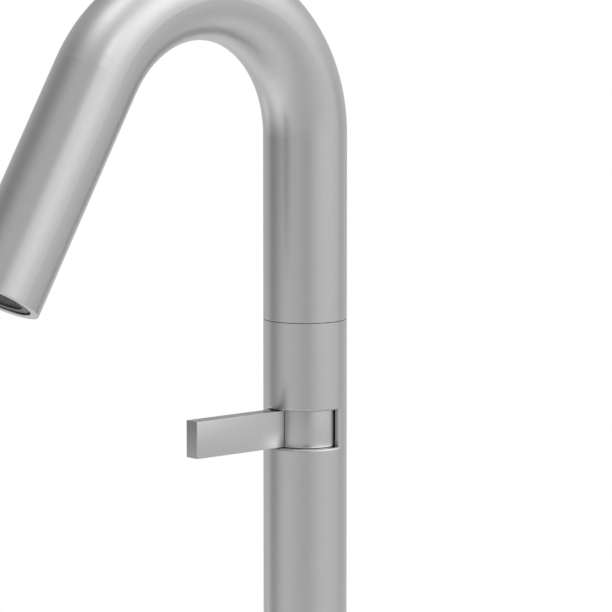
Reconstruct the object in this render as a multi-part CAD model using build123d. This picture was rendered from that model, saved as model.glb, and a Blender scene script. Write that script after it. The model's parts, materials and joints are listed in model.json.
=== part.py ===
from build123d import *
from math import asin, cos, degrees, pi, radians, sin
import os

# Tall single-lever bathroom sink faucet with a gooseneck spout. All lengths are millimetres.
# The origin lies on the column's axis, in the plane of the deck that the faucet stands on.
# +Z is up. The spout points along -Y, and so does the lever when the water is off.
# Angles round the column are counter-clockwise seen from above, and start at +X.

# Outer tube, seen as the column and the spout
tube_radius = 17.5
column_wall = 2.2
spout_wall = 2.2
edge_round = 0.25
seam_edge_round = 0.1

# Heights above the deck
window_floor = 100.0
window_height = 15.85
window_edge_round = 1.0
seam_height = 152.9
seam_gap = 0.2

# Gooseneck
spout_rise = 77.2
bend_radius = 59.1
bend_angle = 149.9
outlet_run = 99.3

# Lever and the drum that carries it
front_angle = -90.0
lever_travel = 90.0
lever_reach = 61.5
lever_height = 15.45
lever_thickness = 6.8
lever_lift = 0.2
lever_edge_round = 0.2
window_margin_angle = 14.3
drum_gap = 0.6
drum_end_gap_angle = 0.4
root_groove = 0.25
tenon_height = 9.0
tenon_thickness = 5.0
tenon_depth = 7.0

# Clearances
slip = 0.05
running_gap = 0.05
lapped_gap = 0.05
slide_gap = 0.1
slide_washer_gap = 0.2

# Base flange and what holds it to the deck
flange_overhang = 6.5
flange_thickness = 4.0
flange_edge_round = 0.8
spigot_height = 14.0
gasket_inset = 2.0
gasket_width = 3.4
gasket_thickness = 1.5
deck_thickness = 25.0
stud_radius = 4.0
stud_offset = 8.5
stud_grip = 13.0
stud_free_end = 12.0
stud_chamfer = 0.8
hose_hole_radius = 5.25
clamp_inset = 2.0
clamp_slot_clearance = 0.8
clamp_rubber_thickness = 3.0
clamp_plate_thickness = 2.5
clamp_nut_length = 20.0
clamp_nut_across_flats = 13.0
clamp_nut_chamfer = 0.8

# Water inlets
inlet_x = 6.2
inlet_y = 3.5
inlet_thread_radius = 4.5
inlet_thread_depth = 12.0
feed_length = 10.0

# Valve body, with the cartridge in its cup
valve_body_block = 16.0
cup_wall = 1.95
cup_rim = 1.0
cartridge_radius = 11.0
cartridge_base_height = 7.0
cartridge_wall = 1.0
cartridge_roof = 4.0
cartridge_neck_radius = 6.4
cartridge_neck_height = 6.5
port_x = 5.2
port_y = 3.0
port_radius = 2.2
port_seal_width = 1.4
port_seal_height = 1.2
outlet_port_y = -5.4
outlet_port_radius = 2.6
side_port_radius = 2.0
disc_thickness = 3.0
disc_cavity_depth = 1.4
disc_cavity_half_angle = 70.0
disc_cavity_inner_radius = 2.8
disc_cavity_outer_radius = 8.2
disc_key_radius = 0.9
disc_play = 0.6
carrier_thickness = 5.0
carrier_lug_radius = 1.2
carrier_lug_height = 1.2
carrier_lug_offset = 7.0
retaining_nut_height = 6.0
retaining_nut_slot = 3.0
retaining_nut_slot_depth = 2.4
carrier_floor = 1.0

# Thickness of the cord of each round sealing ring
body_ring_cord = 1.7
stem_ring_cord = 1.5
cover_ring_cord = 1.5
riser_ring_cord = 0.9
seat_ring_cord = 1.8

# Height of sealing rings over the underside of what holds them
stem_ring_inset = 1.7
cover_ring_inset = 1.6
riser_foot_ring_inset = 1.6
riser_head_ring_inset = 3.3

# Stem between the ceramic discs and the drum
stem_radius = 4.0
stem_collar_radius = 5.0
stem_collar_height = 2.0
stem_foot_side = 6.0
stem_head_side = 5.6
stem_head_height = 11.5

# Cover over the mixed-water chamber, and the tube that leads past the drum
cover_leg_height = 4.0
cover_leg_half_angle = 12.0
cover_thickness = 6.0
snap_ring_thickness = 1.0
snap_ring_width = 1.9
snap_ring_bite = 0.75
snap_ring_land = 0.9
snap_ring_opening_angle = 24.0
snap_ring_eye_angle = 34.0
snap_ring_eye_radius = 1.6
snap_ring_eye_hole_radius = 0.8
riser_wall = 0.8
riser_wall_gap = 1.9
riser_seat_depth = 3.3
riser_grip = 9.5
hub_wall = 1.2
hub_gap = 0.4

# Seat on which the spout turns
seat_lift = 1.6
shoulder_depth = 1.4
collar_wall = 2.7
spigot_wall = 3.6
spigot_rise = 27.0
collar_overrun = 2.0
passage_height = 7.0
bore_floor_height = 13.5
swivel_limit = 60.0
stop_height = 15.1
stop_groove_depth = 1.7
stop_screw_radius = 2.0
stop_point_radius = 1.25
stop_point_gap = 0.35
lower_seat_ring_rise = 5.5
upper_seat_ring_drop = 4.0
lower_slide_ring_rise = 10.0
upper_slide_ring_drop = 8.5
slide_ring_height = 3.0
slide_ring_depth = 1.1

# Small screws
screw_radius = 2.0
screw_head_radius = 3.5
screw_head_height = 2.6
screw_length = 8.0
lever_screw_grip = 3.0
hex_key = 2.0
hex_key_depth = 2.0
grub_length = 4.6
grub_recess = 0.3
base_screw_height = 11.0

# Outlet and aerator
outlet_lip = 3.5
outlet_bore_depth = 12.2
outlet_ledge_width = 2.5
outlet_ledge_thickness = 2.0
aerator_recess = 0.8
aerator_length = 9.9
aerator_face_wall = 3.2
aerator_groove_width = 0.7
aerator_groove_depth = 1.6
aerator_key_width = 2.6
aerator_key_depth = 1.1
grid_recess = 0.9
grid_thickness = 3.0
grid_pitch = 1.35
grid_rib = 0.4
grid_turn = 33.0
diffuser_thickness = 1.6
diffuser_hole_radius = 0.7
diffuser_hole_count = 16
diffuser_outer_share = 0.78
diffuser_inner_share = 0.5
regulator_height = 3.4
regulator_flange = 1.0
regulator_flange_width = 3.55
regulator_bore_radius = 3.0
aerator_seal_thickness = 1.5

# Radii that follow from the sizes above
flange_radius = tube_radius + flange_overhang
clamp_radius = flange_radius - clamp_inset
column_bore = tube_radius - column_wall
spout_bore = tube_radius - spout_wall
insert_radius = column_bore - slip
drum_radius = column_bore - drum_gap
cup_bore = cartridge_radius + slip
cup_radius = cup_bore + cup_wall
hub_radius = stem_radius + hub_wall
riser_radius = (column_bore - riser_wall_gap - hub_gap - hub_radius) / 2
riser_offset = hub_radius + hub_gap + riser_radius
riser_angle = front_angle + 180 + lever_travel / 2
riser_x = riser_offset * cos(radians(riser_angle))
riser_y = riser_offset * sin(radians(riser_angle))
housing_bore = cartridge_radius - cartridge_wall
disc_radius = housing_bore - disc_play
nut_bore = cartridge_neck_radius + slide_gap
collar_radius = spout_bore - slip
spigot_radius = collar_radius - collar_wall - running_gap
spigot_bore_radius = spigot_radius - spigot_wall
outlet_bore_radius = tube_radius - outlet_lip
outlet_ledge_radius = outlet_bore_radius - outlet_ledge_width

# Heights that follow from the sizes above, from the base upwards
spigot_top = flange_thickness + spigot_height
window_top = window_floor + window_height
cover_top = window_floor - snap_ring_land - snap_ring_thickness
cover_low = cover_top - cover_thickness
cup_top = cover_low - cover_leg_height
housing_top = cup_top - cup_rim - retaining_nut_height
ceiling = housing_top - cartridge_roof
carrier_top = ceiling - slide_gap - stem_collar_height
carrier_low = carrier_top - carrier_thickness
moving_disc_low = carrier_low - disc_thickness
fixed_disc_top = moving_disc_low - lapped_gap
fixed_disc_low = fixed_disc_top - disc_thickness
cup_floor = fixed_disc_low - cartridge_base_height
valve_body_low = cup_floor - feed_length - inlet_thread_depth
drum_low = window_floor + lever_lift
drum_top = drum_low + lever_height
seat_low = window_top + seat_lift
column_top = seam_height - seam_gap / 2
spout_low = seam_height + seam_gap / 2
shoulder = column_top - shoulder_depth
spigot_head = spout_low + spigot_rise
stop_level = spout_low + stop_height
riser_foot = cover_low + cover_thickness - riser_seat_depth
riser_head = seat_low + riser_grip

# Gooseneck's centre line
bend_start = spout_low + spout_rise
bend_end_y = -bend_radius * (1 - cos(radians(bend_angle)))
bend_end_z = bend_start + bend_radius * sin(radians(bend_angle))
outlet_direction = Vector(0, -sin(radians(bend_angle)), cos(radians(bend_angle)))
outlet_centre = Vector(0, bend_end_y, bend_end_z) + outlet_direction * outlet_run
outlet_frame = Plane(origin=outlet_centre, x_dir=(1, 0, 0), z_dir=-outlet_direction)


def rod(radius, low, high, x=0, y=0):
    """Upright cylinder between two heights."""
    return Pos(x, y, low) * Cylinder(radius, high - low, align=(Align.CENTER, Align.CENTER, Align.MIN))


def ring(inner, outer, low, high, x=0, y=0):
    """Upright tube between two heights."""
    return rod(outer, low, high, x, y) - rod(inner, low, high, x, y)


def wedge(radius, low, high, start, end):
    """Upright pie slice between two angles, which are less than a full turn apart."""
    corner = lambda angle: (radius * cos(radians(angle)), radius * sin(radians(angle)))
    middle = (start + end) / 2
    rim = ThreePointArc(corner(start), corner(middle), corner(end))
    outline = Line((0, 0), corner(start)) + rim + Line(corner(end), (0, 0))
    return Pos(0, 0, low) * extrude(make_face(outline), high - low)


def block(size_x, size_y, low, high, x=0, y=0):
    """Upright rectangular block between two heights."""
    return Pos(x, y, low) * Box(size_x, size_y, high - low, align=(Align.CENTER, Align.CENTER, Align.MIN))


def o_ring(inner, outer, height, x=0, y=0):
    """Round sealing ring that fills the space between two radii."""
    thickness = (outer - inner) / 2
    return Pos(x, y, height) * Torus(inner + thickness, thickness)


def back_rod(radius, near, far, height):
    """Cylinder that lies along Y, on the column's back."""
    turned = Rot(-90, 0, 0) * Cylinder(radius, far - near, align=(Align.CENTER, Align.CENTER, Align.MIN))
    return Pos(0, near, height) * turned


def back_grub_screw(near, far, height):
    """Headless screw that lies along Y, with a hexagon socket in its outer end."""
    socket = extrude(RegularPolygon(hex_key / 2, 6, major_radius=False), hex_key_depth)
    socket = Pos(0, far - hex_key_depth, height) * (Rot(-90, 0, 0) * socket)
    return back_rod(screw_radius, near, far, height) - socket


def round_rim(solid, radius, height):
    """Rounds the largest circular edge at one height."""
    rims = solid.edges().filter_by(GeomType.CIRCLE)
    rims = rims.filter_by(lambda edge: abs(edge.center().Z - height) < 0.01)
    return fillet(rims.sort_by(SortBy.RADIUS)[-1], radius)


def o_ring_groove(floor, outer, height, cord):
    """Ring cut away round a cylinder to hold a sealing ring of one cord thickness."""
    return ring(floor, outer + 1, height - 0.6 * cord, height + 0.6 * cord)


def inlet_places():
    """Places of the cold and the hot inlet, left and right of the middle."""
    return [(-inlet_x, inlet_y), (inlet_x, inlet_y)]


def port_places():
    """Places of the two inlet ports through the cartridge."""
    return [(-port_x, port_y), (port_x, port_y)]


# Base and deck clamp

gasket_outer_radius = flange_radius - gasket_inset
gasket_inner_radius = gasket_outer_radius - gasket_width
base_screw_outer = tube_radius - grub_recess
base_screw_inner = base_screw_outer - grub_length
clamp_rubber_top = -deck_thickness
clamp_plate_top = clamp_rubber_top - clamp_rubber_thickness
clamp_nut_top = clamp_plate_top - clamp_plate_thickness
clamp_nut_low = clamp_nut_top - clamp_nut_length
stud_low = clamp_nut_low - stud_free_end


def base_flange():
    plate = round_rim(rod(flange_radius, 0, flange_thickness), flange_edge_round, flange_thickness)
    solid = plate + rod(insert_radius, flange_thickness, spigot_top)
    solid -= ring(gasket_inner_radius - slip, gasket_outer_radius + slip, 0, gasket_thickness)
    solid -= rod(stud_radius + slip, 0, stud_grip, 0, -stud_offset)
    for x, y in inlet_places():
        solid -= rod(hose_hole_radius, 0, spigot_top, x, y)
    return solid - back_rod(screw_radius + slip, base_screw_inner, column_bore, base_screw_height)


def base_gasket():
    return ring(gasket_inner_radius, gasket_outer_radius, 0, gasket_thickness)


def base_screw():
    return back_grub_screw(base_screw_inner + slip, base_screw_outer, base_screw_height)


def mounting_stud():
    stud = rod(stud_radius, stud_low, stud_grip, 0, -stud_offset)
    ends = stud.edges().filter_by(GeomType.CIRCLE)
    return chamfer(ends, stud_chamfer)


def horseshoe(low, high):
    """Plate that is open towards the back, so that the supply hoses pass through it."""
    slot_half_width = inlet_x + hose_hole_radius + clamp_slot_clearance
    slot_front = inlet_y - hose_hole_radius - clamp_slot_clearance
    slot_length = 2 * clamp_radius
    plate = rod(clamp_radius, low, high)
    plate -= block(2 * slot_half_width, slot_length, low, high, 0, slot_front + slot_length / 2)
    return plate - rod(stud_radius + 2 * slide_gap, low, high, 0, -stud_offset)


def clamp_rubber():
    return horseshoe(clamp_plate_top, clamp_rubber_top)


def clamp_plate():
    return horseshoe(clamp_nut_top, clamp_plate_top)


def clamp_nut():
    """Long hexagon nut whose corners are turned down at both ends."""
    outline = RegularPolygon(clamp_nut_across_flats / 2, 6, major_radius=False)
    nut = Pos(0, -stud_offset, clamp_nut_low) * extrude(outline, clamp_nut_length)
    corner_radius = clamp_nut_across_flats / 2 / cos(radians(30))
    turned = rod(corner_radius + slip, clamp_nut_low, clamp_nut_top, 0, -stud_offset)
    nut &= chamfer(turned.edges().filter_by(GeomType.CIRCLE), clamp_nut_chamfer)
    return nut - rod(stud_radius + slip, clamp_nut_low, clamp_nut_top, 0, -stud_offset)


# Column

def column():
    tube = ring(column_bore, tube_radius, flange_thickness, column_top)
    tube = round_rim(tube, seam_edge_round, column_top)
    start = front_angle - window_margin_angle
    end = front_angle + lever_travel + window_margin_angle
    window = wedge(2 * tube_radius, window_floor, window_top, start, end)
    tube -= window - rod(column_bore - 1, window_floor, window_top)
    outer = tube.faces().filter_by(lambda face: face.geom_type == GeomType.CYLINDER)
    outer = outer.sort_by(SortBy.AREA)[-1]
    at_window = lambda edge: window_floor - 0.01 < edge.center().Z < window_top + 0.01
    tube = fillet(outer.edges().filter_by(at_window), window_edge_round)
    tube -= ring(column_bore - 1, snap_groove_radius, cover_top, cover_top + snap_ring_thickness + slip)
    return tube - back_rod(screw_radius + slip, column_bore - 1, tube_radius + 1, base_screw_height)


def spacer_sleeve():
    return ring(insert_radius - cup_wall, insert_radius, spigot_top, valve_body_low)


# Valve body and its cartridge

body_ring_level = valve_body_low + valve_body_block / 2
body_ring_floor = insert_radius - 0.9 * body_ring_cord
side_port_level = fixed_disc_low - cartridge_base_height / 2
port_seal_radius = port_radius + port_seal_width
stem_ring_level = housing_top + cartridge_neck_height / 2
cover_stem_ring_level = cover_low + stem_ring_inset


def side_port(radius, near, far):
    """Cylinder along -Y, through which the mixed water leaves the cartridge."""
    turned = Rot(90, 0, 0) * Cylinder(radius, far - near, align=(Align.CENTER, Align.CENTER, Align.MIN))
    return Pos(0, -near, side_port_level) * turned


def valve_body():
    solid = rod(insert_radius, valve_body_low, valve_body_low + valve_body_block)
    solid += rod(cup_radius, valve_body_low + valve_body_block, cup_top)
    solid -= rod(cup_bore, cup_floor, cup_top)
    solid -= o_ring_groove(body_ring_floor, insert_radius, body_ring_level, body_ring_cord)
    thread_top = valve_body_low + inlet_thread_depth
    for x, y in inlet_places():
        solid -= rod(inlet_thread_radius, valve_body_low, thread_top, x, y)
    for x, y in port_places():
        solid -= rod(port_radius, thread_top, cup_floor, x, y)
    return solid - side_port(side_port_radius + slide_gap, cup_bore - 1, cup_radius + 1)


def valve_body_o_ring():
    return o_ring(body_ring_floor + slip, insert_radius, body_ring_level)


def port_seals():
    return [ring(port_radius, port_seal_radius, cup_floor, cup_floor + port_seal_height, x, y)
            for x, y in port_places()]


def cartridge_base():
    solid = rod(cartridge_radius, cup_floor, fixed_disc_low)
    for x, y in port_places():
        solid -= rod(port_radius, cup_floor, fixed_disc_low, x, y)
        solid -= rod(port_seal_radius + slip, cup_floor, cup_floor + port_seal_height, x, y)
    pocket_low = side_port_level - side_port_radius / 2
    solid -= rod(outlet_port_radius, pocket_low, fixed_disc_low, 0, outlet_port_y)
    return solid - side_port(side_port_radius, -outlet_port_y, cartridge_radius + 1)


def disc_keys(radius):
    """Half-round keys at the sides of the fixed disc."""
    return [rod(radius, fixed_disc_low, fixed_disc_top, side * housing_bore, 0) for side in (-1, 1)]


def fixed_disc():
    solid = rod(housing_bore - slip, fixed_disc_low, fixed_disc_top)
    for x, y in port_places():
        solid -= rod(port_radius, fixed_disc_low, fixed_disc_top, x, y)
    solid -= rod(outlet_port_radius, fixed_disc_low, fixed_disc_top, 0, outlet_port_y)
    for key in disc_keys(disc_key_radius + slide_gap):
        solid -= key
    return solid


def moving_disc():
    solid = rod(disc_radius, moving_disc_low, carrier_low)
    start = front_angle - disc_cavity_half_angle
    end = front_angle + disc_cavity_half_angle
    cavity = wedge(disc_cavity_outer_radius, moving_disc_low, moving_disc_low + disc_cavity_depth, start, end)
    solid -= cavity - rod(disc_cavity_inner_radius, moving_disc_low, carrier_low)
    lug_low = carrier_low - carrier_lug_height - slide_gap
    for x in (-carrier_lug_offset, carrier_lug_offset):
        solid -= rod(carrier_lug_radius + slip, lug_low, carrier_low, x, 0)
    return solid


def disc_carrier():
    solid = rod(disc_radius, carrier_low, carrier_top)
    for x in (-carrier_lug_offset, carrier_lug_offset):
        solid += rod(carrier_lug_radius, carrier_low - carrier_lug_height, carrier_low, x, 0)
    socket_side = stem_foot_side + 2 * slip
    return solid - block(socket_side, socket_side, carrier_low + carrier_floor, carrier_top)


def cartridge_housing():
    solid = rod(cartridge_radius, fixed_disc_low, housing_top)
    solid += rod(cartridge_neck_radius, housing_top, housing_top + cartridge_neck_height)
    solid -= rod(housing_bore, fixed_disc_low, ceiling)
    solid -= rod(stem_radius + running_gap, ceiling, housing_top + cartridge_neck_height)
    half = 0.6 * stem_ring_cord
    solid -= rod(stem_radius + stem_ring_cord, stem_ring_level - half, stem_ring_level + half)
    inside = rod(housing_bore + 0.2, fixed_disc_low, fixed_disc_top)
    for key in disc_keys(disc_key_radius):
        solid += key & inside
    return solid


def stem_o_rings():
    inner = stem_radius + running_gap
    outer = stem_radius + stem_ring_cord - slip
    return [o_ring(inner, outer, level) for level in (stem_ring_level, cover_stem_ring_level)]


def retaining_nut():
    top = housing_top + retaining_nut_height
    solid = ring(nut_bore, cartridge_radius, housing_top, top)
    for turn in (0, 90):
        slot = block(2 * cartridge_radius + 2, retaining_nut_slot, top - retaining_nut_slot_depth, top)
        solid -= Rot(0, 0, turn) * slot
    return solid


def stem():
    solid = block(stem_foot_side, stem_foot_side, carrier_low + carrier_floor + slip, carrier_top)
    solid += rod(stem_collar_radius, carrier_top, carrier_top + stem_collar_height)
    solid += rod(stem_radius, carrier_top + stem_collar_height, cover_top)
    head_top = drum_low + stem_head_height
    solid += block(stem_head_side, stem_head_side, cover_top, head_top)
    return solid - rod(screw_radius + slip, head_top - screw_length, head_top)


# Cover of the mixed-water chamber and the riser past the drum

cover_ring_level = cover_low + cover_ring_inset
cover_ring_floor = insert_radius - 0.9 * cover_ring_cord
riser_ring_levels = (riser_foot + riser_foot_ring_inset, seat_low + riser_head_ring_inset)
snap_groove_radius = column_bore + snap_ring_bite
slide_washer_bore = stem_radius + slide_washer_gap


def riser_ring_space(level):
    """Room for the sealing ring round the riser at one height."""
    half = 0.6 * riser_ring_cord
    return rod(riser_radius + riser_ring_cord + slip, level - half, level + half, riser_x, riser_y)


def chamber_cover():
    solid = rod(insert_radius, cover_low, cover_top)
    for turn in (0, 120, 240):
        start = riser_angle + 180 + turn - cover_leg_half_angle
        leg = wedge(cup_radius, cup_top, cover_low, start, start + 2 * cover_leg_half_angle)
        solid += leg - rod(cup_bore, cup_top, cover_low)
    solid -= rod(stem_radius + running_gap, cover_low, cover_top)
    half = 0.6 * stem_ring_cord
    solid -= rod(stem_radius + stem_ring_cord, cover_stem_ring_level - half, cover_stem_ring_level + half)
    solid -= rod(riser_radius - riser_wall, cover_low, riser_foot, riser_x, riser_y)
    solid -= rod(riser_radius + slip, riser_foot, cover_top, riser_x, riser_y)
    solid -= riser_ring_space(riser_ring_levels[0])
    return solid - o_ring_groove(cover_ring_floor, insert_radius, cover_ring_level, cover_ring_cord)


def cover_o_ring():
    return o_ring(cover_ring_floor + slip, insert_radius, cover_ring_level)


def snap_ring():
    """Open spring ring with two eyes for pliers."""
    outer = snap_groove_radius - slip
    inner = outer - snap_ring_width
    top = cover_top + snap_ring_thickness
    gap_middle = riser_angle + 180
    solid = ring(inner, outer, cover_top, top)
    half_opening = snap_ring_opening_angle / 2
    solid -= wedge(2 * outer, cover_top, top, gap_middle - half_opening, gap_middle + half_opening)
    eye_offset = inner + slip - snap_ring_eye_radius / 2
    for side in (-1, 1):
        angle = radians(gap_middle + side * snap_ring_eye_angle / 2)
        x = eye_offset * cos(angle)
        y = eye_offset * sin(angle)
        solid += rod(snap_ring_eye_radius, cover_top, top, x, y)
        solid -= rod(snap_ring_eye_hole_radius, cover_top, top, x, y)
    return solid


def riser_tube():
    return ring(riser_radius - riser_wall, riser_radius, riser_foot, riser_head, riser_x, riser_y)


def riser_o_rings():
    inner = riser_radius + slip / 2
    outer = riser_radius + riser_ring_cord
    return [o_ring(inner, outer, level, riser_x, riser_y) for level in riser_ring_levels]


def lower_slide_washer():
    return ring(slide_washer_bore, hub_radius, cover_top, drum_low - slide_gap)


def upper_slide_washer():
    return ring(slide_washer_bore, hub_radius, drum_top + slide_gap, seat_low)


# Lever and its drum

drum_half_angle = window_margin_angle + lever_travel - drum_end_gap_angle
stem_head_top = drum_low + stem_head_height
tenon_middle = (drum_low + drum_top) / 2
lever_screw_y = -(tenon_depth + drum_radius) / 2
lever_screw_head = tenon_middle - tenon_height / 2 + lever_screw_grip


def lever_drum():
    start = front_angle - drum_half_angle
    solid = wedge(drum_radius, drum_low, drum_top, start, start + 2 * drum_half_angle)
    solid += rod(hub_radius, drum_low, drum_top)
    socket_side = stem_head_side + 2 * slip
    solid -= block(socket_side, socket_side, drum_low, stem_head_top + slip)
    solid -= rod(screw_radius + slide_gap, stem_head_top, drum_top)
    solid -= rod(screw_head_radius + slide_gap, drum_top - screw_head_height - slip, drum_top)
    pocket_length = drum_radius - tenon_depth + 2
    pocket_low = tenon_middle - tenon_height / 2 - slip
    pocket_high = tenon_middle + tenon_height / 2 + slip
    pocket = block(tenon_thickness + 2 * slip, pocket_length, pocket_low, pocket_high,
                   0, -tenon_depth + slip - pocket_length / 2)
    solid -= pocket
    return solid - rod(screw_radius + slip, drum_low, pocket_low, 0, lever_screw_y)


def lever_bar():
    bar = block(lever_thickness, lever_reach, drum_low, drum_top, 0, -lever_reach / 2)
    bar = fillet(bar.edges().filter_by(lambda edge: edge.center().Y < -1), lever_edge_round)
    bar -= rod(drum_radius + root_groove, drum_low, drum_top)
    tenon_length = drum_radius + 1 - tenon_depth
    tenon = block(tenon_thickness, tenon_length, tenon_middle - tenon_height / 2,
                  tenon_middle + tenon_height / 2, 0, -tenon_depth - tenon_length / 2)
    bar += tenon
    return bar - rod(screw_radius + slip, drum_low, lever_screw_head + slide_gap, 0, lever_screw_y)


def hex_socket(low, high, x=0, y=0):
    """Hexagon hole for a key."""
    outline = RegularPolygon(hex_key / 2, 6, major_radius=False)
    return Pos(x, y, low) * extrude(outline, high - low)


def lever_screw():
    low = drum_low + slide_gap
    screw = rod(screw_radius, low, lever_screw_head, 0, lever_screw_y)
    return screw - hex_socket(low, low + hex_key_depth, 0, lever_screw_y)


def drum_screw():
    top = drum_top - slide_gap
    head_low = drum_top - screw_head_height - slip
    solid = rod(screw_head_radius, head_low, top)
    solid += rod(screw_radius, stem_head_top - screw_length + slide_gap, head_low)
    return solid - hex_socket(top - hex_key_depth, top)


# Spout seat, and what the spout turns on

seat_ring_floor = spigot_radius - 0.95 * seat_ring_cord
seat_ring_levels = (spout_low + lower_seat_ring_rise, spigot_head - upper_seat_ring_drop)
slide_ring_levels = (spout_low + lower_slide_ring_rise, spigot_head - upper_slide_ring_drop)
stop_groove_floor = spigot_radius - stop_groove_depth
collar_top = spigot_head + collar_overrun
stop_point_reach = stop_groove_floor + stop_point_gap


def slide_ring_space(level, inner, outer):
    """Ring between two radii, one slide ring high, round one level."""
    return ring(inner, outer, level - slide_ring_height / 2, level + slide_ring_height / 2)


def stop_groove():
    """Slot round the back of the spigot, in which the stop screw's point travels."""
    point_angle = degrees(asin(stop_point_radius / stop_point_reach))
    half_angle = swivel_limit + point_angle + 1
    half_height = stop_point_radius + stop_point_gap
    low = stop_level - half_height
    high = stop_level + half_height
    back = front_angle + 180
    slot = wedge(2 * spigot_radius, low, high, back - half_angle, back + half_angle)
    return slot - rod(stop_groove_floor, low, high)


def spout_seat():
    solid = rod(insert_radius, seat_low, shoulder)
    solid += rod(spigot_radius, shoulder, spigot_head)
    solid -= rod(riser_radius + slip, seat_low, riser_head, riser_x, riser_y)
    solid -= riser_ring_space(riser_ring_levels[1])
    solid -= rod(riser_radius - riser_wall, riser_head, riser_head + passage_height, riser_x, riser_y)
    solid -= rod(spigot_bore_radius, seat_low + bore_floor_height, spigot_head)
    for level in seat_ring_levels:
        solid -= o_ring_groove(seat_ring_floor, spigot_radius, level, seat_ring_cord)
    for level in slide_ring_levels:
        solid -= slide_ring_space(level, spigot_radius - slide_ring_depth, spigot_radius + 1)
    return solid - stop_groove()


def seat_o_rings():
    return [o_ring(seat_ring_floor + slip, spigot_radius, level) for level in seat_ring_levels]


def slide_rings():
    inner = spigot_radius - slide_ring_depth + slip
    return [slide_ring_space(level, inner, spigot_radius) for level in slide_ring_levels]


def thrust_ring():
    return ring(spigot_radius + slide_gap, insert_radius, shoulder, spout_low - slide_gap)


def spout_collar():
    solid = ring(spigot_radius + running_gap, collar_radius, spout_low, collar_top)
    return solid - back_rod(stop_screw_radius + slip, spigot_radius - 1, spout_bore, stop_level)


def stop_screw():
    outer = tube_radius - grub_recess
    inner = spigot_radius + 2 * slide_gap
    solid = back_grub_screw(inner, outer, stop_level)
    return solid + back_rod(stop_point_radius, stop_point_reach, inner, stop_level)


def gooseneck_path(last_run):
    """Centre line from the seam, up, over the bend and down towards the outlet."""
    middle_angle = radians(bend_angle / 2)
    bend_foot = Vector(0, 0, bend_start)
    middle_y = -bend_radius * (1 - cos(middle_angle))
    bend_middle = Vector(0, middle_y, bend_start + bend_radius * sin(middle_angle))
    bend_end = Vector(0, bend_end_y, bend_end_z)
    rise = Line(Vector(0, 0, spout_low), bend_foot)
    bend = ThreePointArc(bend_foot, bend_middle, bend_end)
    run = Line(bend_end, bend_end + outlet_direction * last_run)
    return rise + bend + run


def outlet_rod(radius, low, high):
    """Cylinder on the outlet's axis, between two depths measured into the spout."""
    return outlet_frame.location * rod(radius, low, high)


def spout_tube():
    foot = Plane(origin=(0, 0, spout_low))
    ledge_depth = outlet_bore_depth + outlet_ledge_thickness
    outer = sweep(foot * Circle(tube_radius), path=gooseneck_path(outlet_run))
    inner = sweep(foot * Circle(spout_bore), path=gooseneck_path(outlet_run - ledge_depth))
    solid = outer - inner
    solid -= outlet_rod(outlet_bore_radius, 0, outlet_bore_depth)
    solid -= outlet_rod(outlet_ledge_radius, outlet_bore_depth, ledge_depth)
    mouth = solid.faces().sort_by(lambda face: (face.center() - outlet_centre).length)[0]
    solid = fillet(mouth.edges(), edge_round)
    solid = round_rim(solid, seam_edge_round, spout_low)
    return solid - back_rod(stop_screw_radius + slide_gap, spout_bore - 1, tube_radius + 1, stop_level)


# Aerator, built on the outlet's axis with its face towards the water's way out

aerator_radius = outlet_bore_radius - slip
aerator_face_radius = outlet_bore_radius - aerator_groove_width
aerator_bore = aerator_face_radius - aerator_face_wall
aerator_top = aerator_recess + aerator_length
grid_low = aerator_recess + grid_recess
grid_top = grid_low + grid_thickness
diffuser_top = grid_top + diffuser_thickness
insert_clear_radius = aerator_bore - slip
regulator_radius = insert_clear_radius - regulator_flange_width


def in_outlet(piece):
    """Moves a piece, or a list of them, from its own axis onto the outlet's axis."""
    if isinstance(piece, list):
        return [outlet_frame.location * solid for solid in piece]
    return outlet_frame.location * piece


def aerator_housing():
    solid = rod(aerator_radius, aerator_recess + aerator_groove_depth, aerator_top)
    solid += rod(aerator_face_radius, aerator_recess, aerator_recess + aerator_groove_depth)
    solid -= rod(aerator_bore, aerator_recess, aerator_top)
    key = block(2 * aerator_radius + 2, aerator_key_width, aerator_recess, aerator_recess + aerator_key_depth)
    return in_outlet(solid - key)


def aerator_grid():
    """Disc with a square lattice of holes between thin ribs."""
    hole_side = grid_pitch - grid_rib
    rim_radius = insert_clear_radius - grid_rib
    per_side = int(rim_radius / grid_pitch)
    disc = Circle(insert_clear_radius)
    holes = []
    for column_number in range(-per_side, per_side + 1):
        for row_number in range(-per_side, per_side + 1):
            x = column_number * grid_pitch
            y = row_number * grid_pitch
            if (abs(x) + hole_side / 2) ** 2 + (abs(y) + hole_side / 2) ** 2 < rim_radius ** 2:
                holes.append(Pos(x, y) * Rectangle(hole_side, hole_side))
    lattice = extrude(disc - holes, grid_thickness)
    return in_outlet(Pos(0, 0, grid_low) * (Rot(0, 0, grid_turn) * lattice))


def diffuser_disc():
    """Disc with rings of small holes that break the water up."""
    solid = rod(insert_clear_radius, grid_top, diffuser_top)
    rings = [(diffuser_outer_share, diffuser_hole_count), (diffuser_inner_share, diffuser_hole_count // 2)]
    for share, count in rings:
        for number in range(count):
            angle = 2 * pi * number / count
            x = share * insert_clear_radius * cos(angle)
            y = share * insert_clear_radius * sin(angle)
            solid -= rod(diffuser_hole_radius, grid_top, diffuser_top, x, y)
    return in_outlet(solid)


def flow_regulator():
    """Cup over the diffuser that limits the flow to a set amount."""
    flange_top = diffuser_top + regulator_flange
    solid = rod(insert_clear_radius, diffuser_top, flange_top)
    solid += rod(regulator_radius, flange_top, diffuser_top + regulator_height)
    solid -= rod(regulator_bore_radius, diffuser_top, diffuser_top + regulator_height)
    return in_outlet(solid)


def aerator_seal():
    low = outlet_bore_depth - aerator_seal_thickness
    return in_outlet(ring(outlet_ledge_radius, aerator_radius, low, outlet_bore_depth))


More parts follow.
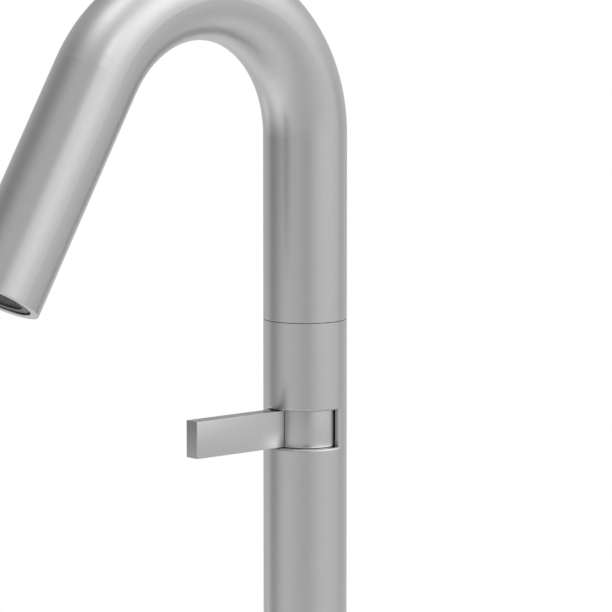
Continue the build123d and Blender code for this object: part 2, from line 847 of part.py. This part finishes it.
piece_makers = [
    base_flange, base_gasket, base_screw, mounting_stud, clamp_rubber, clamp_plate, clamp_nut,
    column, spacer_sleeve, valve_body, valve_body_o_ring, port_seals, cartridge_base, fixed_disc,
    moving_disc, disc_carrier, cartridge_housing, stem_o_rings, retaining_nut, stem,
    chamber_cover, cover_o_ring, snap_ring, riser_tube, riser_o_rings,
    lower_slide_washer, upper_slide_washer, lever_drum, lever_bar, lever_screw, drum_screw,
    spout_seat, seat_o_rings, slide_rings, thrust_ring, spout_collar, stop_screw, spout_tube,
    aerator_housing, aerator_grid, diffuser_disc, flow_regulator, aerator_seal,
]

os.makedirs("parts", exist_ok=True)
for maker in piece_makers:
    made = maker()
    if isinstance(made, list):
        made = Compound(children=made)
    export_step(made, f"parts/{maker.__name__}.step")
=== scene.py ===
"""Finishes, thread and stage for a tall single-lever basin faucet with a gooseneck spout."""

import json
from math import cos, e, pi, radians, sin

import bmesh
import bpy
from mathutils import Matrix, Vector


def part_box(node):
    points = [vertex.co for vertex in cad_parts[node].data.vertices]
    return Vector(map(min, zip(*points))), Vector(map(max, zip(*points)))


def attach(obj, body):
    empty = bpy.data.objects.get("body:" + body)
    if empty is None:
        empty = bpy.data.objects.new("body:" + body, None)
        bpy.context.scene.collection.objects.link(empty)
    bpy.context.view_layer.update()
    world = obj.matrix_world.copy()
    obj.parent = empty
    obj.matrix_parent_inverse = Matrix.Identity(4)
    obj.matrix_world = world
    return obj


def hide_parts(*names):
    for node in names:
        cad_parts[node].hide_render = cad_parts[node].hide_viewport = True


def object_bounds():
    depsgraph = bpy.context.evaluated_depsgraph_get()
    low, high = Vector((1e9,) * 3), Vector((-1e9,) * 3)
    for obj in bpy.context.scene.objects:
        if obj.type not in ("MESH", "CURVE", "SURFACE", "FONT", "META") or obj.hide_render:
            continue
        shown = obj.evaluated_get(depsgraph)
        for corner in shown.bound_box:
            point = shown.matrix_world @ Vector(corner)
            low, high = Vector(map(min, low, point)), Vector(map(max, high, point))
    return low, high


bl_info = {
    "name": "Gooseneck basin faucet",
    "version": (1, 0, 0),
    "blender": (4, 5, 0),
    "location": "3D View > Sidebar > Faucet",
    "description": "Finishes, thread and stage for a tall single-lever basin faucet",
    "category": "Object",
}

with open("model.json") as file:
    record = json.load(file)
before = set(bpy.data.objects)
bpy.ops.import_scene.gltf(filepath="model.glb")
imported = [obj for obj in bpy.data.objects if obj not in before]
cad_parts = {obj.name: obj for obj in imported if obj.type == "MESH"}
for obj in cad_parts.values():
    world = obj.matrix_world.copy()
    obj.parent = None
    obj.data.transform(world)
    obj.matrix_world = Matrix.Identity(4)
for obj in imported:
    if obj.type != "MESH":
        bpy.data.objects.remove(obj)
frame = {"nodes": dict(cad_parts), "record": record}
NODES = frame["nodes"]
CAD_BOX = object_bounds()

# Where the spout's centre line bends. All lengths are metres.
BEND_RADIUS = 0.0591
BEND_ANGLE = radians(149.9)
BEND_CENTRE_Y = -BEND_RADIUS
BEND_CENTRE_Z = 0.2302

# Middle of the outlet's opening, at the end of the straight run after the bend
OUTLET_RUN = 0.0993
OUTLET_Y = BEND_CENTRE_Y + BEND_RADIUS * cos(BEND_ANGLE) - OUTLET_RUN * sin(BEND_ANGLE)
OUTLET_Z = BEND_CENTRE_Z + BEND_RADIUS * sin(BEND_ANGLE) + OUTLET_RUN * cos(BEND_ANGLE)

# Sockets of the Mix node for colours: its three inputs, and the output with the mixed colour
MIX_SHARE = 0
MIX_FIRST = 6
MIX_SECOND = 7
MIX_RESULT = 2


class Strand:
    """A node socket that takes part in Python expressions. Each operator adds its Math node."""

    def __init__(self, tree, socket):
        self.tree = tree
        self.socket = socket

    def math(self, operation, *values):
        node = self.tree.nodes.new("ShaderNodeMath")
        node.operation = operation
        for socket, value in zip(node.inputs, values):
            plug(self.tree, socket, value)
        return Strand(self.tree, node.outputs[0])

    def __add__(self, other):
        return self.math("ADD", self, other)

    __radd__ = __add__

    def __sub__(self, other):
        return self.math("SUBTRACT", self, other)

    def __rsub__(self, other):
        return self.math("SUBTRACT", other, self)

    def __mul__(self, other):
        return self.math("MULTIPLY", self, other)

    __rmul__ = __mul__

    def __truediv__(self, other):
        return self.math("DIVIDE", self, other)

    def __rtruediv__(self, other):
        return self.math("DIVIDE", other, self)

    def __pow__(self, other):
        return self.math("POWER", self, other)

    def __rpow__(self, other):
        return self.math("POWER", other, self)

    def clip(self, low, high):
        return self.math("MINIMUM", self.math("MAXIMUM", self, low), high)


def plug(tree, socket, value):
    """Links a strand to a socket, or sets the socket to a number, colour or vector."""
    if isinstance(value, Strand):
        tree.links.new(value.socket, socket)
    elif isinstance(value, (tuple, list)) and socket.type == "RGBA" and len(value) == 3:
        socket.default_value = (*value, 1)
    else:
        socket.default_value = value


class Recipe:
    """The nodes of one material or of the world."""

    def __init__(self, owner):
        owner.use_nodes = True
        self.tree = owner.node_tree
        self.tree.nodes.clear()

    def node(self, kind, settings=None, sockets=None, output=0):
        """Adds a node, sets it up, fills its sockets and gives one of its outputs."""
        node = self.tree.nodes.new("ShaderNode" + kind)
        for name, value in (settings or {}).items():
            setattr(node, name, value)
        for name, value in (sockets or {}).items():
            plug(self.tree, node.inputs[name], value)
        return Strand(self.tree, node.outputs[output]) if node.outputs else None

    def place(self):
        """The point on the piece, in metres, as it is at rest."""
        split = {"Vector": self.node("TexCoord", output="Object")}
        return [self.node("SeparateXYZ", None, split, axis) for axis in ("X", "Y", "Z")]

    def vector(self, x, y, z):
        return self.node("CombineXYZ", None, {"X": x, "Y": y, "Z": z})

    def dot(self, first, second):
        return self.node("VectorMath", {"operation": "DOT_PRODUCT"}, {0: first, 1: second}, "Value")

    def noise(self, vector, scale, detail, roughness):
        sockets = {"Vector": vector, "Scale": scale, "Detail": detail, "Roughness": roughness}
        return self.node("TexNoise", None, sockets, "Fac")

    def blend(self, share, first, second):
        """Mixes two colours."""
        sockets = {MIX_SHARE: share, MIX_FIRST: first, MIX_SECOND: second}
        return self.node("Mix", {"data_type": "RGBA"}, sockets, MIX_RESULT)

    def bump(self, height, depth):
        """Turns a height into a tilted normal. Depth is what one unit of the height stands for."""
        return self.node("Bump", None, {"Height": height, "Distance": depth, "Strength": 1.0})

    def surface(self, sockets):
        """Ends the material in a Principled shader."""
        shader = self.node("BsdfPrincipled", None, sockets)
        self.node("OutputMaterial", None, {"Surface": shader})


def new_material(name):
    material = bpy.data.materials.new(name)
    return material, Recipe(material)


def dress(node, material):
    """Gives a CAD node one finish all over."""
    mesh = NODES[node].data
    mesh.materials.clear()
    mesh.materials.append(material)


def swing(noise, span):
    """A noise, which runs from 0 to 1, moved to swing about 0 and stretched to a span."""
    return (noise - 0.5) * span


def shade(colour, factor):
    """A colour made lighter or darker."""
    return tuple(min(1, channel * factor) for channel in colour)


def round_places(recipe):
    """Across, across and along a part that was turned about the column's axis."""
    return recipe.place()


def spout_places(recipe):
    """Across, across and along the spout, as if its tube were straight."""
    x, y, z = recipe.place()
    out = y - BEND_CENTRE_Y
    up = z - BEND_CENTRE_Z
    half = BEND_ANGLE / 2
    turned_out = out * cos(half) + up * sin(half)
    turned_up = up * cos(half) - out * sin(half)
    turn = (out.math("ARCTAN2", turned_up, turned_out) + half).clip(0, BEND_ANGLE)
    cosine = turn.math("COSINE", turn)
    sine = turn.math("SINE", turn)
    across = out * cosine + up * sine - BEND_RADIUS
    along = up * cosine - out * sine + turn * BEND_RADIUS
    return x, across, along


def lever_places(recipe):
    """Along, along and across the lever, whose lines run lengthwise."""
    x, y, z = recipe.place()
    return y, y, x + z


# A face of the lever is one of its sides where more than this share of its normal points across
SIDE_SHARE = 0.5

# The lever's foot, which is hidden in the drum, and the least share of the crown beside it
LEVER_FOOT = 0.010
LEAST_CROWN = 0.1

# The swell's middle before the drum and below the lever's edge, and its length, in swell radii
SWELL_AHEAD = 0.8
SWELL_BELOW = 0.25
SWELL_LENGTH = 1.3


def faces_side(recipe):
    """1 on the lever's two broad sides, and 0 on its end, top and underside."""
    facing = {"Vector": recipe.node("TexCoord", output="Normal")}
    across = recipe.node("SeparateXYZ", None, facing, "X")
    return across.math("GREATER_THAN", across.math("ABSOLUTE", across), SIDE_SHARE)


def lever_crown(recipe, look):
    """Height of the lever's faces, which are slightly crowned, and on the sides more so near the tip."""
    low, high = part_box("lever_bar")
    tall = high.z - low.z
    root = high.y - LEVER_FOOT
    _, y, z = recipe.place()
    rise = (z - (low.z + tall * look.crown_level)) / tall
    towards_tip = ((root - y) / (root - low.y)).clip(LEAST_CROWN, 1)
    slope = look.end_slope + (look.side_slope * towards_tip - look.end_slope) * faces_side(recipe)
    return rise * rise * slope * (-tall)


def lever_swell(recipe, look):
    """Height of the small swell in the lever's sides, low at its foot."""
    middle_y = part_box("lever_drum")[0].y - look.swell_radius * SWELL_AHEAD
    middle_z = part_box("lever_bar")[0].z - look.swell_radius * SWELL_BELOW
    _, y, z = recipe.place()
    along = (y - middle_y) / (look.swell_radius * SWELL_LENGTH)
    rise = (z - middle_z) / look.swell_radius
    away = along * along + rise * rise
    return look.swell_height * away.math("EXPONENT", -1 * away) * faces_side(recipe)


def drum_crown(recipe, look):
    """Height of the drum's slightly crowned face, which flares a little at its foot."""
    low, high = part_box("lever_drum")
    tall = high.z - low.z
    _, _, z = recipe.place()
    rise = (z - (low.z + tall * look.crown_level)) / tall
    foot = (low.z - z) / look.flare_length
    return rise * rise * (-tall * look.drum_slope) + look.flare_height * foot.math("EXPONENT", foot)


# Noise of the steel's fine lines, of the broader streaks among them and of the clouds over both
LINES = dict(scale=1, detail=3, roughness=0.6)
STREAKS = dict(scale=1, detail=2, roughness=0.5)
CLOUDS = dict(scale=38, detail=2, roughness=0.5)

# How many times longer and wider than the lines the streaks are
STREAK_LENGTH = 2
STREAK_WIDTH = 5

# The streaks' part of the lines' contrast, their share of the depth, and how they change the roughness
STREAK_CONTRAST = 0.6
STREAK_DEPTH = 0.3
STREAK_ROUGHNESS = 0.10

# How far the clouds change the tone and the roughness
CLOUD_CONTRAST = 0.10
CLOUD_ROUGHNESS = 0.05

# The lightest and the darkest steel, as factors on its colour
LIGHT_STEEL = 1.12
DARK_STEEL = 0.88


def brushed_steel(name, look, places, shapes=()):
    """Satin stainless steel with fine lines that run across the last of its three places.

    Each of the shapes gives a height that the surface has besides its lines.
    """
    material, recipe = new_material(name)
    first, second, across = places(recipe)
    long_way = 1 / look.line_length
    fine_way = 1 / look.line_spacing
    lines = recipe.noise(
        recipe.vector(first * long_way, second * long_way, across * fine_way), **LINES)
    long_way /= STREAK_LENGTH
    fine_way /= STREAK_WIDTH
    streaks = recipe.noise(
        recipe.vector(first * long_way, second * long_way, across * fine_way), **STREAKS)
    clouds = recipe.noise(recipe.vector(first, second, across), **CLOUDS)
    tone = 0.5 + swing(lines, look.line_contrast)
    tone = tone + swing(streaks, look.line_contrast * STREAK_CONTRAST)
    tone = (tone + swing(clouds, CLOUD_CONTRAST)).clip(0, 1)
    roughness = look.roughness + swing(streaks, STREAK_ROUGHNESS) + swing(clouds, CLOUD_ROUGHNESS)
    height = (lines * (1 - STREAK_DEPTH) + streaks * STREAK_DEPTH) * look.line_depth
    for shape in shapes:
        height = height + shape(recipe, look)
    recipe.surface({
        "Base Color": recipe.blend(tone, shade(look.colour, DARK_STEEL), shade(look.colour, LIGHT_STEEL)),
        "Metallic": 1.0,
        "Roughness": roughness,
        "Normal": recipe.bump(height, 1.0),
    })
    return material


class SteelLook(bpy.types.PropertyGroup):
    colour: bpy.props.FloatVectorProperty(
        name="Steel colour", description="Colour of the satin steel where it faces the eye",
        subtype="COLOR", default=(0.50, 0.50, 0.50), min=0, max=1)
    roughness: bpy.props.FloatProperty(
        name="Roughness", description="How far the brushing spreads a reflection",
        default=0.30, min=0, max=1, subtype="FACTOR")
    line_spacing: bpy.props.FloatProperty(
        name="Line spacing", description="Typical distance between two brushed lines",
        default=0.00022, min=0.00005, unit="LENGTH", precision=5)
    line_length: bpy.props.FloatProperty(
        name="Line length", description="Typical length of a brushed line",
        default=0.009, min=0.001, unit="LENGTH", precision=4)
    line_depth: bpy.props.FloatProperty(
        name="Line depth", description="Depth of the brushed lines",
        default=0.0000012, min=0, unit="LENGTH", precision=7)
    line_contrast: bpy.props.FloatProperty(
        name="Line contrast", description="How much lighter and darker the lines are than the steel",
        default=0.32, min=0, max=2)
    crown_level: bpy.props.FloatProperty(
        name="Crown level",
        description="Where the faces of the lever and the drum are upright, as a share of their height",
        default=0.36, min=0, max=1, subtype="FACTOR")
    side_slope: bpy.props.FloatProperty(
        name="Side slope",
        description="Change of slope from edge to edge of the lever's sides at the tip, halved",
        default=0.150, min=0, max=1)
    end_slope: bpy.props.FloatProperty(
        name="End slope", description="Change of slope from edge to edge of the lever's end, halved",
        default=0.070, min=0, max=1)
    drum_slope: bpy.props.FloatProperty(
        name="Drum slope", description="Change of slope from edge to edge of the drum's face, halved",
        default=0.060, min=0, max=1)
    flare_height: bpy.props.FloatProperty(
        name="Flare height", description="How far the drum's foot flares out",
        default=0.00045, min=0, unit="LENGTH", precision=5)
    flare_length: bpy.props.FloatProperty(
        name="Flare length", description="Height over which the drum's foot flares out",
        default=0.00100, min=0.0001, unit="LENGTH", precision=5)
    swell_height: bpy.props.FloatProperty(
        name="Swell height", description="Height of the swell at the lever's foot",
        default=0.0014, min=0, unit="LENGTH", precision=5)
    swell_radius: bpy.props.FloatProperty(
        name="Swell radius", description="Size of the swell at the lever's foot",
        default=0.0050, min=0.001, unit="LENGTH", precision=5)


class FAUCET_OT_brush_steel(bpy.types.Operator):
    """Gives the column, the spout, the lever and the base flange their satin-brushed finish"""

    bl_idname = "faucet.brush_steel"
    bl_label = "Brush the steel"

    def execute(self, context):
        look = context.scene.faucet_steel
        turned = brushed_steel("satin_steel_turned", look, round_places)
        bent = brushed_steel("satin_steel_bent", look, spout_places)
        crowned = brushed_steel("satin_steel_crowned", look, round_places, [drum_crown])
        flat = brushed_steel("satin_steel_flat", look, lever_places, [lever_crown, lever_swell])
        dress("column", turned)
        dress("base_flange", turned)
        dress("spout_tube", bent)
        dress("lever_drum", crowned)
        dress("lever_bar", flat)
        return {"FINISHED"}


# Looks of the fittings: colour, how metallic, roughness, and the grain's size and depth
FITTING_LOOKS = {
    "plain_steel": ((0.50, 0.50, 0.51), 1.0, 0.30, 0.0012, 0.000006),
    "brass": ((0.70, 0.53, 0.27), 1.0, 0.28, 0.0010, 0.000006),
    "ceramic": ((0.84, 0.83, 0.80), 0.0, 0.22, 0.0006, 0.000003),
    "black_rubber": ((0.030, 0.030, 0.031), 0.0, 0.72, 0.0005, 0.00002),
    "slide_plastic": ((0.050, 0.050, 0.052), 0.0, 0.45, 0.0006, 0.00001),
    "pale_plastic": ((0.74, 0.74, 0.72), 0.0, 0.48, 0.0007, 0.00001),
    "dark_plastic": ((0.10, 0.10, 0.10), 0.0, 0.50, 0.0006, 0.00001),
}
OUTLET_PLASTIC = ((0.070, 0.070, 0.070), 0.0, 0.42, 0.0006, 0.00001)

# Noise of a fitting's grain and of the broad patches over it, and how far they change its look
GRAIN = dict(scale=1, detail=3, roughness=0.55)
PATCHES = dict(scale=55, detail=2, roughness=0.5)
GRAIN_CONTRAST = 0.5
PATCH_CONTRAST = 0.7
PATCH_ROUGHNESS = 0.16

# The lightest and the darkest tone of a fitting, as factors on its colour
LIGHT_FITTING = 1.1
DARK_FITTING = 0.88


def fitting_material(name, colour, metallic, roughness, grain, depth):
    """Plain metal, rubber, ceramic or plastic with a fine grain."""
    material, recipe = new_material(name)
    x, y, z = recipe.place()
    fine = recipe.noise(recipe.vector(x / grain, y / grain, z / grain), **GRAIN)
    broad = recipe.noise(recipe.vector(x, y, z), **PATCHES)
    tone = (0.5 + swing(fine, GRAIN_CONTRAST) + swing(broad, PATCH_CONTRAST)).clip(0, 1)
    recipe.surface({
        "Base Color": recipe.blend(tone, shade(colour, DARK_FITTING), shade(colour, LIGHT_FITTING)),
        "Metallic": metallic,
        "Roughness": roughness + swing(broad, PATCH_ROUGHNESS),
        "Normal": recipe.bump(fine, depth),
    })
    return material


# The aerator's lattice: how deep in the outlet it begins, how far down its holes their pale rims
# reach, the colour of the painted shade deeper in the holes, the rims' own colour, how rough the
# plastic is and how strongly it mirrors
LATTICE_DEPTH = 0.0017
RIM_DEPTH = 0.00008
HOLE_PAINTED_SHADE = (0.010, 0.010, 0.010)
RIM_COLOUR = (0.10, 0.10, 0.10)
LATTICE_ROUGHNESS = 0.42
LATTICE_GLOSS = 0.15

# Noise of the specks in the lattice's plastic, and how far they change its look
SPECKS = dict(scale=900, detail=2, roughness=0.6)
SPECK_CONTRAST = 0.5
SPECK_ROUGHNESS = 0.2
SPECK_DEPTH = 0.00001


def lattice_plastic(name):
    """Dark plastic of the aerator's lattice, paler on the rims of its holes, with painted shade deeper
    inside them.
    """
    material, recipe = new_material(name)
    x, y, z = recipe.place()
    out = y - OUTLET_Y
    up = z - OUTLET_Z
    inward = out * sin(BEND_ANGLE) - up * cos(BEND_ANGLE)
    # Painted shade: below the rims, the walls of the holes turn near black where shade falls.
    rim = (1 - (inward - LATTICE_DEPTH) / RIM_DEPTH).clip(0, 1)
    specks = recipe.noise(recipe.vector(x, y, z), **SPECKS)
    tone = (rim * (1 + swing(specks, SPECK_CONTRAST))).clip(0, 1)
    recipe.surface({
        "Base Color": recipe.blend(tone, HOLE_PAINTED_SHADE, RIM_COLOUR),
        "Specular IOR Level": LATTICE_GLOSS,
        "Roughness": LATTICE_ROUGHNESS + swing(specks, SPECK_ROUGHNESS),
        "Normal": recipe.bump(specks, SPECK_DEPTH),
    })
    return material


class FAUCET_OT_finish_fittings(bpy.types.Operator):
    """Gives the fittings inside and below the faucet their metal, rubber, ceramic and plastic"""

    bl_idname = "faucet.finish_fittings"
    bl_label = "Finish the fittings"

    def execute(self, context):
        slots = {}
        for entry in frame["record"]["subparts"]:
            slots.setdefault(entry["material_slot"], []).append(entry["node"])
        for slot, look in FITTING_LOOKS.items():
            material = fitting_material(slot, *look)
            for node in slots[slot]:
                dress(node, material)
        dress("aerator_housing", fitting_material("outlet_plastic", *OUTLET_PLASTIC))
        dress("aerator_grid", lattice_plastic("lattice_plastic"))
        return {"FINISHED"}


class ThreadSizes(bpy.types.PropertyGroup):
    pitch: bpy.props.FloatProperty(
        name="Thread pitch", description="Rise of the mounting stud's thread in one turn",
        default=0.00125, min=0.0003, unit="LENGTH", precision=5)
    depth: bpy.props.FloatProperty(
        name="Thread depth", description="Depth of the thread's groove",
        default=0.00067, min=0.0001, unit="LENGTH", precision=5)
    runout: bpy.props.FloatProperty(
        name="Thread run-out",
        description="Length over which the thread fades in at each end of the stud",
        default=0.0016, min=0.0001, unit="LENGTH", precision=4)
    steps: bpy.props.IntProperty(
        name="Steps in a turn", description="Number of facets in one turn of the thread",
        default=32, min=8, max=96)


# Corners of the thread's profile: how far up the pitch each lies, and how far out of the groove
THREAD_PROFILE = [(0.0, 0.0), (0.3, 1.0), (0.42, 1.0), (0.72, 0.0)]

# Angle between two faces from which their edge is shaded sharp
SHARP_ANGLE = radians(25)


def thread_surface(sizes, radius, middle, low, high):
    """Corners and faces of a threaded rod: one profile swept along a helix, with a flat at each end."""
    chamfer = sizes.depth
    bottom = low + chamfer
    top = high - chamfer
    turns = (high - low - 2 * chamfer) / sizes.pitch - 1
    count = int(turns * sizes.steps)
    corners = []
    for step in range(count + sizes.steps + 1):
        for share, crest in THREAD_PROFILE:
            z = min(bottom + (step / sizes.steps + share) * sizes.pitch, top)
            fade = min(1.0, (z - bottom) / sizes.runout, (top - z) / sizes.runout)
            reach = radius - sizes.depth * (1 - crest * max(0.0, fade))
            corners.append(on_circle(middle, reach, step / sizes.steps, z))
    wide = len(THREAD_PROFILE)
    next_turn = wide * sizes.steps
    last = wide - 1
    faces = []
    for here in range(0, wide * count, wide):
        after = here + wide
        for side in range(last):
            faces.append((here + side, after + side, after + side + 1, here + side + 1))
        faces.append((here + last, after + last, after + next_turn, here + next_turn))
    for first, z, faces_down in ((0, low, True), (count, high, False)):
        rim = len(corners)
        foot = wide * first
        for step in range(sizes.steps):
            corners.append(on_circle(middle, radius - 2 * chamfer, (first + step) / sizes.steps, z))
        end = []
        for step in range(sizes.steps):
            beside = foot + wide * step
            end.append((rim + step, rim + (step + 1) % sizes.steps, beside + wide, beside))
        end.append(tuple(reversed(range(rim, rim + sizes.steps))))
        end.append((rim, *range(foot, foot + wide), foot + next_turn))
        faces += end if faces_down else [face[::-1] for face in end]
    return corners, faces


def on_circle(middle, reach, turns, z):
    """Point on a level circle, so many turns from the X axis."""
    angle = 2 * pi * turns
    return (middle[0] + reach * cos(angle), middle[1] + reach * sin(angle), z)


def drop_unused_corners(mesh):
    work = bmesh.new()
    work.from_mesh(mesh)
    unused = [corner for corner in work.verts if not corner.link_faces]
    bmesh.ops.delete(work, geom=unused, context="VERTS")
    work.to_mesh(mesh)
    work.free()


class FAUCET_OT_cut_stud_thread(bpy.types.Operator):
    """Makes the mounting stud with its real thread, in place of the plain rod"""

    bl_idname = "faucet.cut_stud_thread"
    bl_label = "Cut the stud's thread"

    def execute(self, context):
        sizes = context.scene.faucet_thread
        low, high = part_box("mounting_stud")
        radius = (high.x - low.x) / 2
        middle = ((low.x + high.x) / 2, (low.y + high.y) / 2)
        corners, faces = thread_surface(sizes, radius, middle, low.z, high.z)
        mesh = bpy.data.meshes.new("stud_thread")
        mesh.from_pydata(corners, [], faces)
        drop_unused_corners(mesh)
        mesh.shade_smooth()
        mesh.set_sharp_from_angle(angle=SHARP_ANGLE)
        mesh.materials.append(NODES["mounting_stud"].data.materials[0])
        stud = bpy.data.objects.new("stud_thread", mesh)
        context.scene.collection.objects.link(stud)
        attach(stud, "column_and_base")
        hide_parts("mounting_stud")
        return {"FINISHED"}


# Soft panels of the studio, and dark flags where the strength is negative: bearing, height and
# spread in degrees, and strength. Bearing 0 is the spout's side, and it grows anticlockwise.
PANELS = {
    "narrow key": (73, 35, 8, 1.40),
    "wide key": (97, 27, 26, 0.75),
    "high front": (0, 76, 20, 1.30),
    "low left": (336, -20, 35, 1.80),
    "flag over low left": (330, -7, 39, -1.70),
    "flag at the back": (236, 28, 15, -0.70),
    "flag at the far right": (164, -2, 11, -0.25),
    "flag by the camera": (56, 15, 14, -0.75),
    "right": (138, 36, 28, 1.15),
    "low far left": (286, -18, 11, 0.65),
    "overhead spot": (117, 88, 4, 1.05),
    "glow from below": (235, -85, 42, 1.55),
}

# Light of the bare room and of the ground, the level on a unit sphere where they meet, how sharply
# they do, and the least light that the flags leave
ROOM_LIGHT = 0.71
GROUND_LIGHT = 0.42
GROUND_LEVEL = -0.45
GROUND_BLEND = 9
LEAST_LIGHT = 0.06

# White backdrop that the steel mirrors: bearing and height of its middle, in degrees, the cosine of
# its half width, and how much of that cosine its soft rim takes
BACKDROP = (229, -4)
BACKDROP_EDGE = 0.978
BACKDROP_RIM = 0.016


def studio_world(world):
    """Even room light with soft panels, seen by everything but the camera, which sees plain white."""
    recipe = Recipe(world)
    direction = recipe.node("TexCoord", output="Generated")
    rise = recipe.node("SeparateXYZ", None, {"Vector": direction}, "Z")
    below = 1 / (1 + e ** ((rise - GROUND_LEVEL) * GROUND_BLEND))
    light = ROOM_LIGHT + (GROUND_LIGHT - ROOM_LIGHT) * below
    for bearing, height, spread, strength in PANELS.values():
        facing = recipe.dot(direction, unit_vector(bearing, height))
        sharpness = 1 / (1 - cos(radians(spread)))
        light = light + strength * facing.math("EXPONENT", (facing - 1) * sharpness)
    light = light.math("MAXIMUM", light, LEAST_LIGHT)
    tinted = recipe.node("CombineColor", None, {0: light, 1: light, 2: light})
    behind = recipe.dot(direction, unit_vector(*BACKDROP))
    backdrop = ((behind - BACKDROP_EDGE) / BACKDROP_RIM).clip(0, 1)
    glossy = recipe.node("LightPath", output="Is Glossy Ray")
    passed = recipe.node("LightPath", output="Is Transmission Ray")
    seen = recipe.node("LightPath", output="Is Camera Ray")
    white = (seen + (glossy + passed) * backdrop).clip(0, 1)
    colour = recipe.blend(white, tinted, (1, 1, 1))
    background = recipe.node("Background", None, {"Color": colour, "Strength": 1.0})
    recipe.node("OutputWorld", None, {"Surface": background})


def unit_vector(bearing, height):
    """Direction from the faucet, from a bearing and a height in degrees."""
    turn = radians(bearing)
    rise = radians(height)
    return (sin(turn) * cos(rise), -cos(turn) * cos(rise), sin(rise))


# The floor lies this far below the stud's end. Its shadow is whole up to a reach from the column,
# and fades over the next stretch.
FLOOR_GAP = 0.0005
FLOOR_SIDES = 96
FLOOR_COLOUR = (0.9, 0.9, 0.9)
SHADOW_REACH = 0.14
SHADOW_FADE = 0.26


def floor_material():
    """Pale floor that keeps its shadow near the faucet, fades to white, and is clear from underneath."""
    material, recipe = new_material("studio_floor")
    x, y, _ = recipe.place()
    away = (x * x + y * y) ** 0.5
    fade = ((away - SHADOW_REACH) / SHADOW_FADE).clip(0, 1)
    underneath = recipe.node("NewGeometry", output="Backfacing")
    hidden = fade.math("MAXIMUM", fade, underneath)
    matt = recipe.node("BsdfDiffuse", None, {"Color": FLOOR_COLOUR})
    clear = recipe.node("BsdfTransparent", None, {"Color": (1, 1, 1)})
    mixed = recipe.node("MixShader", None, {0: hidden, 1: matt, 2: clear})
    recipe.node("OutputMaterial", None, {"Surface": mixed})
    return material


class StageLook(bpy.types.PropertyGroup):
    lens: bpy.props.FloatProperty(
        name="Lens", description="Focal length of the camera, in millimetres on a 36 mm sensor",
        default=255.97, min=1)
    bearing: bpy.props.FloatProperty(
        name="Bearing",
        description="Side from which the camera looks, anticlockwise from the spout's side",
        default=radians(49.12), subtype="ANGLE")
    tilt: bpy.props.FloatProperty(
        name="Tilt", description="Angle by which the camera looks down",
        default=radians(7.438), subtype="ANGLE")
    distance: bpy.props.FloatProperty(
        name="Distance", description="Level distance between the camera and the column's axis",
        default=1.8032, min=0.1, unit="LENGTH")
    side_step: bpy.props.FloatProperty(
        name="Side step",
        description="How far the camera stands to its own right of the column's axis",
        default=0.0004025, unit="LENGTH", precision=5)
    height: bpy.props.FloatProperty(
        name="Height", description="Height of the camera above the deck",
        default=0.3934, unit="LENGTH")
    floor_radius: bpy.props.FloatProperty(
        name="Floor radius", description="Radius of the pale floor under the faucet",
        default=0.42, min=0.1, unit="LENGTH")


class FAUCET_OT_set_stage(bpy.types.Operator):
    """Lays the pale floor, lights the studio and places the camera"""

    bl_idname = "faucet.set_stage"
    bl_label = "Set the stage"

    def execute(self, context):
        scene = context.scene
        look = scene.faucet_stage
        scene.view_settings.view_transform = "Standard"
        self.lay_floor(scene, look)
        if scene.world is None:
            scene.world = bpy.data.worlds.new("studio")
        studio_world(scene.world)
        self.place_camera(scene, look)
        return {"FINISHED"}

    def lay_floor(self, scene, look):
        level = CAD_BOX[0].z - FLOOR_GAP
        rim = [on_circle((0, 0), look.floor_radius, side / FLOOR_SIDES, level)
               for side in range(FLOOR_SIDES)]
        mesh = bpy.data.meshes.new("floor")
        mesh.from_pydata(rim, [], [list(range(FLOOR_SIDES))])
        mesh.materials.append(floor_material())
        floor = bpy.data.objects.new("floor", mesh)
        scene.collection.objects.link(floor)

    def place_camera(self, scene, look):
        camera = bpy.data.objects.new("camera", bpy.data.cameras.new("camera"))
        scene.collection.objects.link(camera)
        camera.data.sensor_width = 36
        camera.data.lens = look.lens
        camera.data.clip_start = 0.05
        camera.data.clip_end = 50
        side = (cos(look.bearing), sin(look.bearing))
        back = (sin(look.bearing), -cos(look.bearing))
        camera.location = (
            back[0] * look.distance + side[0] * look.side_step,
            back[1] * look.distance + side[1] * look.side_step,
            look.height,
        )
        camera.rotation_euler = (pi / 2 - look.tilt, 0, look.bearing)
        scene.camera = camera


class FAUCET_PT_panel(bpy.types.Panel):
    """Sizes, colours and steps of the faucet"""

    bl_idname = "FAUCET_PT_panel"
    bl_label = "Basin faucet"
    bl_space_type = "VIEW_3D"
    bl_region_type = "UI"
    bl_category = "Faucet"

    def draw(self, context):
        scene = context.scene
        for group in (scene.faucet_steel, scene.faucet_thread, scene.faucet_stage):
            box = self.layout.box()
            for name in group.__annotations__:
                box.prop(group, name)
        for operator in OPERATORS:
            self.layout.operator(operator.bl_idname)


OPERATORS = (
    FAUCET_OT_brush_steel, FAUCET_OT_finish_fittings, FAUCET_OT_cut_stud_thread, FAUCET_OT_set_stage,
)
CLASSES = (SteelLook, ThreadSizes, StageLook, *OPERATORS, FAUCET_PT_panel)


def register():
    for each in CLASSES:
        bpy.utils.register_class(each)
    bpy.types.Scene.faucet_steel = bpy.props.PointerProperty(type=SteelLook)
    bpy.types.Scene.faucet_thread = bpy.props.PointerProperty(type=ThreadSizes)
    bpy.types.Scene.faucet_stage = bpy.props.PointerProperty(type=StageLook)


def unregister():
    del bpy.types.Scene.faucet_stage
    del bpy.types.Scene.faucet_thread
    del bpy.types.Scene.faucet_steel
    for each in reversed(CLASSES):
        bpy.utils.unregister_class(each)


def main():
    register()
    bpy.ops.faucet.brush_steel()
    bpy.ops.faucet.finish_fittings()
    bpy.ops.faucet.cut_stud_thread()
    bpy.ops.faucet.set_stage()


if __name__ == "__main__":
    main()
